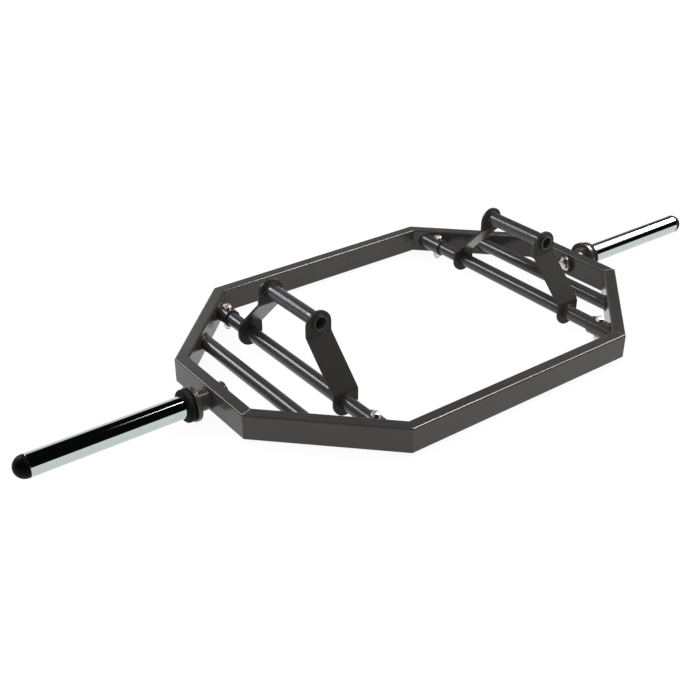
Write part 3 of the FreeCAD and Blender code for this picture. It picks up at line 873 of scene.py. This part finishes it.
@dataclass
class Handle:
    """One turning handle: pivot tube, two cranked arms and a knurled grip."""

    side: Side  # the end of the bar that it lies at
    pivot_x: float  # place of its pivot line along x
    pivot_height: float  # height of the pivot line
    grip_height: float  # height of the grip's axis
    tube_radius: float  # outer radius of the pivot tube
    tube_half: float  # half the pivot tube's length
    grip_radius: float  # outer radius of the grip
    grip_half: float  # half the grip's length
    lower_ear: float  # from the middle to a lower ear's outer face
    upper_ear: float  # from the middle to an upper ear's outer face
    ear_radius: float  # radius of the arms' round ends
    setdown: float  # how far the centre of an upper ear's round lies below the grip's axis
    thickness: float = 6.0  # thickness of the arms' plate
    bend_radius: float = 8.0  # radius of the plate's middle line in a bend
    bend_spans: int = 10  # spans of each bend
    bend_lead: float = 0.6  # straight length kept beside a bend
    lower_rise: float = 25.0  # from the pivot line up to the lower bend, outside
    upper_drop: float = 28.0  # from the grip's axis down to the upper bend, outside
    hole_gap: float = 0.1  # play between a tube and its hole
    edge_rounding: float = 0.8  # rounding of the plate's edges
    edge_spans: int = 3  # spans of that rounding
    edge_angle: float = math.radians(50.0)  # edges that turn by more than this are rounded
    across_points: int = 11  # points across the plate
    ring_rows: int = 5  # rows from a hole to an ear's outline
    side_points: int = 5  # points down an ear's straight side
    bow_points: int = 49  # points round an ear's half circle
    grip_wall: float = 3.2  # wall of the grip's tube
    grip_chamfer: float = 0.8  # chamfer of its ends
    knurl_leads: int = 21  # diamonds along the grip
    knurl_teeth: int = 20  # diamonds round the grip
    knurl_stretch: float = 1.25  # length of a diamond along the grip, in widths
    knurl_depth: float = 0.45  # depth of the grooves
    knurl_land: float = 0.75  # share of a diamond that stays plain
    knurl_steps: int = 8  # points per diamond

    @classmethod
    def from_frame(cls, side: Side) -> "Handle":
        """Reads a handle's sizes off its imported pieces.

        Args:
            side: the end of the bar.

        Returns:
            The handle.
        """
        tube, grip, arm = (Box.of(f"{side.word}_{node}") for node in ("pivot_tube", "grip", "rear_arm"))
        return cls(side=side, pivot_x=tube.middle[0], pivot_height=tube.middle[2],
                   grip_height=grip.middle[2], tube_radius=tube.half[0], tube_half=tube.high[1],
                   grip_radius=grip.half[0], grip_half=grip.high[1], lower_ear=arm.high[1],
                   upper_ear=arm.low[1] + cls.thickness, ear_radius=arm.half[0],
                   setdown=grip.middle[2] + arm.half[0] - arm.high[2])

    @property
    def body(self) -> str:
        """The body that the handle moves with."""
        return f"{self.side.word}_handle"

    def add_pivot_tube(self) -> None:
        """Adds the pivot tube."""
        node = f"{self.side.word}_pivot_tube"
        tube = plain_tube(self.tube_radius, self.tube_half).moved(self.pivot_x, 0.0, self.pivot_height)
        add_piece(f"{node}_painted", tube, "frame_paint", self.body, node)

    def knurl(self, along: Array, angle: Array) -> Array:
        """Depth of the knurl, as a share: 1 in a groove, 0 on a diamond's land.

        Two families of grooves wind round the grip in opposite senses. The depth is the larger of the two,
        and it fades out over half a lead at each end.

        Args:
            along: distance from the grip's middle in leads, rows by one.
            angle: angle round the grip.

        Returns:
            The depth, rows by angles.
        """
        round_phase = self.knurl_teeth * angle / FULL_TURN
        groove = [np.abs(2.0 * ((along + sense * round_phase) % 1.0) - 1.0) for sense in (1.0, -1.0)]
        fade = np.clip(self.knurl_leads - 2.0 * np.abs(along), 0.0, 1.0)
        return fade * np.clip((np.maximum(*groove) - self.knurl_land) / (1.0 - self.knurl_land), 0.0, 1.0)

    def add_grip(self) -> None:
        """Adds the grip: a tube with an open bore, plain ends and a diamond knurl between them.

        The diamonds are drawn about three times as coarse as a real knurl, so that they show at the
        photograph's size.
        """
        steps = self.knurl_steps * self.knurl_teeth
        lead = self.knurl_stretch * FULL_TURN * self.grip_radius / self.knurl_teeth
        end, chamfered = self.grip_half, self.grip_half - self.grip_chamfer
        half_leads = 0.5 * self.knurl_leads
        leads = np.linspace(-half_leads, half_leads, self.knurl_steps * self.knurl_leads + 1)[:, None]
        cut = self.grip_radius - self.knurl_depth * self.knurl(leads, turn_angles(steps))
        small, bore = self.grip_radius - self.grip_chamfer, self.grip_radius - self.grip_wall
        rows = [(-end, bore), (-end, small), (-chamfered, self.grip_radius), (lead * leads, cut),
                (chamfered, self.grip_radius), (end, small), (end, bore)]
        grip = turned(rows, Axis.Y, steps, Ends.LOOP).moved(self.pivot_x, 0.0, self.grip_height)
        node = f"{self.side.word}_grip"
        add_piece(f"{node}_knurled", grip, "grip_paint", self.body, node)

    def ear(self, hole: float, rise: float, centre: float) -> Array:
        """Maps a ring grid onto a round ear: straight lines from the hole's circle to the ear's outline.

        The outline is a half circle below, two straight sides and a straight line across at the top.

        Args:
            hole: radius of the hole.
            rise: height of the line across, above the hole's middle.
            centre: height of the half circle's centre, above the hole's middle.

        Returns:
            Across and up from the hole's middle: rows from hole to outline, columns round it.
        """
        radius = self.ear_radius
        across = np.linspace(radius, -radius, self.across_points)
        down = np.linspace(rise, centre, self.side_points)[1:-1]
        bow = np.linspace(math.pi, FULL_TURN, self.bow_points)
        outline = np.concatenate([
            np.stack([across, 0.0 * across + rise], axis=1),
            np.stack([0.0 * down - radius, down], axis=1),
            np.stack([radius * np.cos(bow), centre + radius * np.sin(bow)], axis=1),
            np.stack([0.0 * down + radius, down[::-1]], axis=1),
        ])
        circle = hole * outline / np.linalg.norm(outline, axis=1, keepdims=True)
        share = np.linspace(0.0, 1.0, self.ring_rows)[:, None, None]
        return circle + share * (outline - circle)

    def arm_surface(self) -> Shell:
        """Builds the middle surface of a rear arm: two ears and the strip that is bent between them.

        The strip's middle line is the outer faces' line moved in by half the thickness, with its two corners
        rounded to the bend radius.

        Returns:
            The open surface.
        """
        half = 0.5 * self.thickness
        outer = np.array([(self.lower_ear, self.pivot_height + self.lower_rise),
                          (self.upper_ear, self.grip_height - self.upper_drop)])
        crank = (outer[1] - outer[0]) / np.linalg.norm(outer[1] - outer[0])
        line = outer[0] + half * np.array([-crank[1], crank[0]])
        middle = np.array([self.lower_ear, self.upper_ear]) - half
        bends = line + ((middle - line[0]) / crank[0])[:, None] * crank
        reach = self.bend_radius * math.tan(0.5 * math.acos(crank[1])) + self.bend_lead
        lower_rise = bends[0, 1] - reach - self.pivot_height
        upper_drop = self.grip_height - bends[1, 1] - reach
        corners = [(middle[0], self.pivot_height + lower_rise), *bends,
                   (middle[1], self.grip_height - upper_drop)]
        path = rounded(corners, self.bend_radius, closed=False, steps=self.bend_spans)
        strip = np.empty((len(path), self.across_points, 3))
        strip[..., 0] = np.linspace(self.ear_radius, -self.ear_radius, self.across_points)
        strip[..., 1:] = path[:, None]
        lower = self.ear(self.tube_radius + self.hole_gap, lower_rise, 0.0)
        upper = -self.ear(self.grip_radius + self.hole_gap, upper_drop, self.setdown)
        ears = [skin(np.insert(grid, 1, depth, axis=2) + (0.0, 0.0, height), Ends.OPEN)
                for grid, depth, height in ((lower, middle[0], self.pivot_height),
                                            (upper, middle[1], self.grip_height))]
        return join([sheet(strip), *ears]).welded()

    def add_arms(self) -> None:
        """Adds the two arms: bent plates whose thickness and broken edges are modifiers."""
        surface = self.arm_surface()
        for half in Half:
            node = f"{self.side.word}_{half.word}_arm"
            shell = surface.placed(half).moved(self.pivot_x, 0.0, 0.0)
            # The arms' enamel has darker tones than the frame's: painted shade on the plates.
            arm = add_piece(f"{node}_painted", shell, "frame_paint", self.body, node, finish=PLATE_ENAMEL_WITH_PAINTED_SHADE)
            plate = arm.modifiers.new("plate", "SOLIDIFY")
            plate.thickness = self.thickness * MM
            plate.offset = 0.0
            plate.use_even_offset = True
            edges = arm.modifiers.new("broken_edges", "BEVEL")
            edges.width = self.edge_rounding * MM
            edges.segments = self.edge_spans
            edges.limit_method = "ANGLE"
            edges.angle_limit = self.edge_angle
            edges.harden_normals = True

    def weld_ears(self) -> None:
        """Adds the beads round the tubes, at both faces of each ear."""
        beads = []
        for half in Half:
            sign = float(half.value)
            for outer, radius, height in ((self.lower_ear, self.tube_radius, self.pivot_height),
                                          (self.upper_ear, self.grip_radius, self.grip_height)):
                for face, way in ((outer, sign), (outer - self.thickness, -sign)):
                    bead = WeldBead().shell(radius, Axis.Y, sign * face, 0.0, (0.0, 0.0, way))
                    beads.append(bead.moved(self.pivot_x, 0.0, height))
        add_welds(f"{self.body}_welds", beads, self.body)

    def build(self) -> None:
        """Adds the whole handle."""
        self.add_pivot_tube()
        self.add_arms()
        self.add_grip()
        self.weld_ears()


@dataclass
class Sleeve:
    """One turning sleeve: collar, rubber ring, chromed tube, domed cap and the bolt that keeps it in.

    Lengths are measured from the bar's middle. The roundings stand in the order of the outline's corners.
    """

    side: Side  # the end of the bar that it lies at
    height: float  # height of its axis
    tube: Triple  # the chromed tube's radius, start and end
    cap: Triple  # the cap's radius, the start of its plug and its tip
    flange: Triple  # the collar's radius, start and end
    ring: Triple  # the rubber ring's radius, start and end
    bolt_seat: float  # where the retaining bolt's head sits
    bolt: HexBolt  # the retaining bolt's shape
    wall: float = 4.0  # wall of the tube
    seat_depth: float = 1.0  # how far the tube is turned down where the collar and the ring sit
    fit: float = 0.05  # play between two pieces
    tube_rounding: tuple[float, ...] = (0.3, 0.3, 0.2, 0.3, 0.8, 0.3)
    flange_rounding: tuple[float, ...] = (0.4, 1.6, 1.6, 0.4)
    ring_rounding: tuple[float, ...] = (0.5, 6.0, 6.0, 0.8)
    ring_spans: int = 12  # spans of each of the rubber ring's roundings
    cap_rounding: tuple[float, ...] = (0.0, 0.6, 0.2, 0.4, 0.0)
    dome_rows: int = 40  # rows of points over the cap's half sphere
    steps: int = 160

    @classmethod
    def from_frame(cls, side: Side) -> "Sleeve":
        """Reads a sleeve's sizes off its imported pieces.

        Args:
            side: the end of the bar.

        Returns:
            The sleeve.
        """
        tube, cap, flange, rubber, bolt, washer = (Box.of(f"{side.word}_{node}") for node in (
            "sleeve_tube", "end_cap", "flange", "rubber_ring", "retaining_bolt", "retaining_washer"))
        half_flats, head_top, bolt_end = bolt.span
        bolt_seat = washer.span[1]
        shape = HexBolt(diameter=16.0, flats=2.0 * half_flats, head=bolt_seat - head_top,
                        length=bolt_end - bolt_seat, threaded=38.0, pitch=2.0)
        return cls(side=side, height=tube.middle[2], tube=tube.span, cap=cap.span, flange=flange.span,
                   ring=rubber.span, bolt_seat=bolt_seat, bolt=shape)

    def add(self, node: str, suffix: str, shell: Shell, slot: str) -> None:
        """Adds a piece that was made for the right end, half turned where this is the left one.

        Args:
            node: the node that it stands for, without its side.
            suffix: the last word of the piece's name.
            shell: its mesh, round the x axis.
            slot: its material slot.
        """
        name, body = f"{self.side.word}_{node}", f"{self.side.word}_sleeve"
        add_piece(f"{name}_{suffix}", shell.placed(self.side).moved(0.0, 0.0, self.height), slot, body, name)

    def tube_shell(self) -> Shell:
        """Builds the chromed tube, turned down where the collar and the ring sit.

        Returns:
            The closed shell.
        """
        radius, start, end = self.tube
        bore, seat, shoulder = radius - self.wall, radius - self.seat_depth, self.ring[2]
        outline = [(bore, start), (seat, start), (seat, shoulder),
                   (radius, shoulder), (radius, end), (bore, end)]
        return lathe(rounded(outline, self.tube_rounding), self.steps)

    def cap_shell(self) -> Shell:
        """Builds the cap: a plug in the tube, a short rim and a half sphere.

        Returns:
            The closed shell.
        """
        radius, start, tip = self.cap
        plug, mouth, crown = self.tube[0] - self.wall - self.fit, self.tube[2] + self.fit, tip - radius
        foot = rounded([(0.0, start), (plug, start), (plug, mouth), (radius, mouth), (radius, crown)],
                       self.cap_rounding, closed=False)
        rise = np.linspace(0.0, 0.5 * math.pi, self.dome_rows + 1)[1:]
        dome = np.stack([radius * np.cos(rise), crown + radius * np.sin(rise)], axis=1)
        return lathe(np.concatenate([foot, dome]), self.steps, Ends.POLE)

    def build(self) -> None:
        """Adds the whole sleeve. The bolt's head looks towards the bar's middle."""
        bore = self.tube[0] - self.seat_depth + self.fit
        collar = ring(bore, self.flange, self.flange_rounding, steps=self.steps)
        rubber = ring(bore, self.ring, self.ring_rounding, self.ring_spans, self.steps)
        bolt = self.bolt.shell(Axis.X).moved(-self.bolt_seat, 0.0, 0.0).half_turned()
        self.add("sleeve_tube", "chromed", self.tube_shell(), "sleeve_chrome")
        self.add("flange", "painted", collar, "collar_paint")
        self.add("rubber_ring", "moulded", rubber, "ring_rubber")
        self.add("end_cap", "moulded", self.cap_shell(), "cap_plastic")
        self.add("retaining_bolt", "plated", bolt, "fastener_zinc")


@dataclass(frozen=True)
class Lamp:
    """A soft rectangular lamp."""

    name: str
    place: Triple  # where it hangs, in metres
    aim: Triple  # the point that it faces, in metres
    size: Pair  # its width and height, in metres
    colour: str  # the colour of its light
    power: float  # its power in watts
    roll: float = 0.0  # the heading of its width, in degrees from +X

    def hang(self) -> None:
        """Adds the lamp to the scene."""
        light = bpy.data.lights.new(self.name, "AREA")
        light.shape = "RECTANGLE"
        light.size, light.size_y = self.size
        light.color = to_linear(self.colour)[:3]
        light.energy = self.power
        lamp = bpy.data.objects.new(self.name, light)
        back = (Vector(self.place) - Vector(self.aim)).normalized()
        across = Vector((math.cos(math.radians(self.roll)), math.sin(math.radians(self.roll)), 0.0))
        across = (across - across.dot(back) * back).normalized()
        turn = Matrix((across, back.cross(across), back)).transposed()
        lamp.location = self.place
        lamp.rotation_euler = turn.to_euler()
        lamp.visible_camera = False
        bpy.context.scene.collection.objects.link(lamp)


@dataclass
class Studio:
    """A white floor under a dark ceiling, soft lamps behind and above the bar, and the camera."""

    floor_size: float = 14.0  # half the floor's width, in metres
    floor_drop: float = 0.05  # how far the floor lies below the bar, in millimetres
    floor_glow: float = 0.93  # the floor's own white towards the eye
    floor_lit: float = 0.12  # what the lamps and the bar's shadow add to it
    floor_albedo: float = 0.8  # how much light the floor gives back to the bar
    ceiling_radius: float = 9.0  # radius of the dark ceiling that only reflections see, in metres
    ceiling_lean: Triple = (0.0, 1.0, -0.9)  # the direction in which the ceiling grows lighter
    ceiling_fall: Pair = (0.1, 1.0)  # shares of the radius along it between which it does
    ceiling_glow: Pair = (0.004, 0.8)  # the ceiling's lowest and highest brightness
    # Where the ceiling's rim and its crown lie, as angles above the floor.
    ceiling_rise: Pair = (0.01, 0.4999 * math.pi)
    ceiling_steps: tuple[int, int] = (180, 24)  # points round the ceiling, and rows up it
    window_heading: float = math.radians(95.5)  # the way to the middle of the ceiling's lifted rim, from +X
    window_half: float = math.radians(29.5)  # half the width of the lifted rim
    window_fade: float = math.radians(3.0)  # width over which the rim comes down again
    window_rise: float = math.radians(31.0)  # how far the rim is lifted
    panel_height: float = 3.0  # height of the bright panel that only reflections see, in metres
    # Places along x, each with the panel's lowest and highest y there, in metres.
    panel_outline: tuple[Triple, ...] = (
        (0.12, -0.45, -0.35), (0.55, -0.46, -0.34), (0.64, -0.52, -0.28), (1.00, -0.46, -0.26),
        (1.27, -0.50, -0.10), (1.42, -1.10, 1.30), (2.25, -1.10, 1.30), (2.42, -0.72, 0.22),
        (2.85, -0.82, 0.38), (5.50, -1.80, 1.50))
    panel_glow: float = 26.0  # the panel's brightness
    # Places along x between which the panel comes up to that brightness, in metres.
    panel_fade: Pair = (0.12, 1.0)
    panel_colour: str = "#fff5e9"
    ambient: float = 0.68  # light that comes from all round, as a share of white
    camera_place: Triple = (-1.4509, -1.6907, 1.2599)  # where the camera stands, in metres
    camera_tilt: float = 59.7  # the camera's angle from straight down, in degrees
    camera_heading: float = -36.87  # the camera's angle from +Y, in degrees
    lens: float = 54.53  # focal length on the sensor, in millimetres
    sensor: float = 36.0  # width of the sensor, in millimetres
    lamps: tuple[Lamp, ...] = (
        Lamp("cool_back_lamp", (-1.5, 2.3, 1.95), (-0.2, 0.0, 0.0), (0.95, 1.1), "#f0f3ff", 44.0),
        Lamp("overhead_softbox", (3.5, -0.4, 3.0), (3.5, -0.4, 0.0), (4.38, 4.38), "#fffaf4", 74.0, 45.0),
    )

    @staticmethod
    def seen_directly(tree: Tree) -> Socket:
        """Adds a factor that is 1 for what the camera, a mirror or glass sees, and 0 for light that spreads.

        Args:
            tree: the node tree.

        Returns:
            The factor's socket.
        """
        path = add_node(tree, "LightPath").outputs
        larger = {"operation": "MAXIMUM"}
        mirrored = add_node(tree, "Math", larger, {0: path["Is Glossy Ray"], 1: path["Is Transmission Ray"]})
        return add_node(tree, "Math", larger, {0: path["Is Camera Ray"], 1: mirrored.outputs[0]}).outputs[0]

    @staticmethod
    def add_reflector(name: str, shell: Shell, colour: str, lean: Triple, run: dict) -> None:
        """Adds a glowing surface for reflections alone: it isn't seen, lights nothing and shades nothing.

        Args:
            name: its name, and its material's.
            shell: its mesh.
            colour: the colour of its light.
            lean: the direction that its brightness changes along, per metre.
            run: the limits of that change, and the brightness at each.
        """
        material = bpy.data.materials.new(name)
        tree = blank_tree(material)
        place = add_node(tree, "TexCoord").outputs["Object"]
        dot = {"operation": "DOT_PRODUCT", 1: lean}
        along = add_node(tree, "VectorMath", dot, {0: place}).outputs["Value"]
        level = add_node(tree, "MapRange", run, {"Value": along}).outputs["Result"]
        glow = add_node(tree, "Emission", {"Color": to_linear(colour)}, {"Strength": level}).outputs[0]
        add_node(tree, "OutputMaterial", links={"Surface": glow})
        item = add_object(name, shell, material)
        item.visible_camera = item.visible_diffuse = False
        item.visible_shadow = item.visible_transmission = False

    def add_floor(self) -> None:
        """Adds the floor: white to the eye, with the bar's shadow on it."""
        material = bpy.data.materials.new("white_floor")
        tree = blank_tree(material)
        spread, lit = (add_node(tree, "BsdfDiffuse", {"Color": (share, share, share, 1.0)}).outputs[0]
                       for share in (self.floor_albedo, self.floor_lit))
        glow = add_node(tree, "Emission", {"Color": to_linear(WHITE), "Strength": self.floor_glow}).outputs[0]
        shown = add_node(tree, "AddShader", links={0: lit, 1: glow}).outputs[0]
        parts = {0: self.seen_directly(tree), 1: spread, 2: shown}
        mixed = add_node(tree, "MixShader", links=parts).outputs[0]
        add_node(tree, "OutputMaterial", links={"Surface": mixed})
        reach = self.floor_size / MM
        x, y = np.meshgrid((-reach, reach), (-reach, reach))
        add_object("floor", sheet(np.stack([x, y, 0.0 * x - self.floor_drop], axis=-1)), material)

    def add_ceiling(self) -> None:
        """Adds the dark ceiling: a half sphere that gives the chrome its black band and lights nothing.

        Its rim is lifted over a part of the back, where the white backdrop shows below it.
        """
        limits = ("From Min", "From Max", "To Min", "To Max")
        run = dict(zip(limits, (*self.ceiling_fall, *self.ceiling_glow)))
        lean = tuple(part / self.ceiling_radius for part in self.ceiling_lean)
        steps, rows = self.ceiling_steps
        low, crown = self.ceiling_rise
        from_window = np.abs((turn_angles(steps) - self.window_heading + math.pi) % FULL_TURN - math.pi)
        open_share = np.clip((self.window_half + self.window_fade - from_window) / self.window_fade, 0.0, 1.0)
        rim = low + self.window_rise * open_share
        rise = rim + (crown - rim) * np.linspace(0.0, 1.0, rows)[:, None]
        radius = self.ceiling_radius / MM
        dome = turned([(radius * np.sin(rise), radius * np.cos(rise))], Axis.Z, steps, Ends.OPEN)
        self.add_reflector("ceiling", dome, WHITE, lean, run)

    def add_panel(self) -> None:
        """Adds the bright panel overhead, which draws lines along the rails and a band along the chrome.

        It runs from a faint strip over the bar to a wide end beside it, straight between the places of its
        outline.
        """
        run = {"interpolation_type": "SMOOTHSTEP", "From Min": self.panel_fade[0],
               "From Max": self.panel_fade[1], "To Max": self.panel_glow}
        x, y = np.split(np.array(self.panel_outline), [1], axis=1)
        points = np.stack([x + 0.0 * y, y, 0.0 * y + self.panel_height], axis=-1) / MM
        self.add_reflector("bright_panel", sheet(points), self.panel_colour, (1.0, 0.0, 0.0), run)

    def light_world(self) -> None:
        """Sets the world: white where it is seen, and an even soft light where it only lights."""
        world = bpy.data.worlds.new("studio")
        bpy.context.scene.world = world
        tree = blank_tree(world)
        white = to_linear(WHITE)
        soft, seen = (add_node(tree, "Background", {"Color": white, "Strength": share}).outputs[0]
                      for share in (self.ambient, 1.0))
        mixed = add_node(tree, "MixShader", links={0: self.seen_directly(tree), 1: soft, 2: seen}).outputs[0]
        add_node(tree, "OutputWorld", links={"Surface": mixed})

    def add_camera(self) -> None:
        """Adds the camera at the photograph's angle."""
        data = bpy.data.cameras.new("camera")
        data.lens = self.lens
        data.sensor_width = self.sensor
        camera = bpy.data.objects.new("camera", data)
        camera.location = self.camera_place
        camera.rotation_euler = (math.radians(self.camera_tilt), 0.0, math.radians(self.camera_heading))
        bpy.context.scene.collection.objects.link(camera)
        bpy.context.scene.camera = camera

    def build(self) -> None:
        """Adds the floor, the ceiling, the panel, the lamps and the camera."""
        self.add_floor()
        self.add_ceiling()
        self.add_panel()
        self.light_world()
        for lamp in self.lamps:
            lamp.hang()
        self.add_camera()
        bpy.context.scene.view_settings.view_transform = "Standard"


def main() -> None:
    """Builds the bar's sub-assemblies and the studio, in order."""
    logging.basicConfig(level=logging.INFO, format="%(message)s")
    Octagon.from_frame().build()
    SocketFasteners.from_frame().build()
    for side in Side:
        Handle.from_frame(side).build()
        Sleeve.from_frame(side).build()
    dress_remaining_nodes()
    Studio().build()


if __name__ == "__main__":
    main()
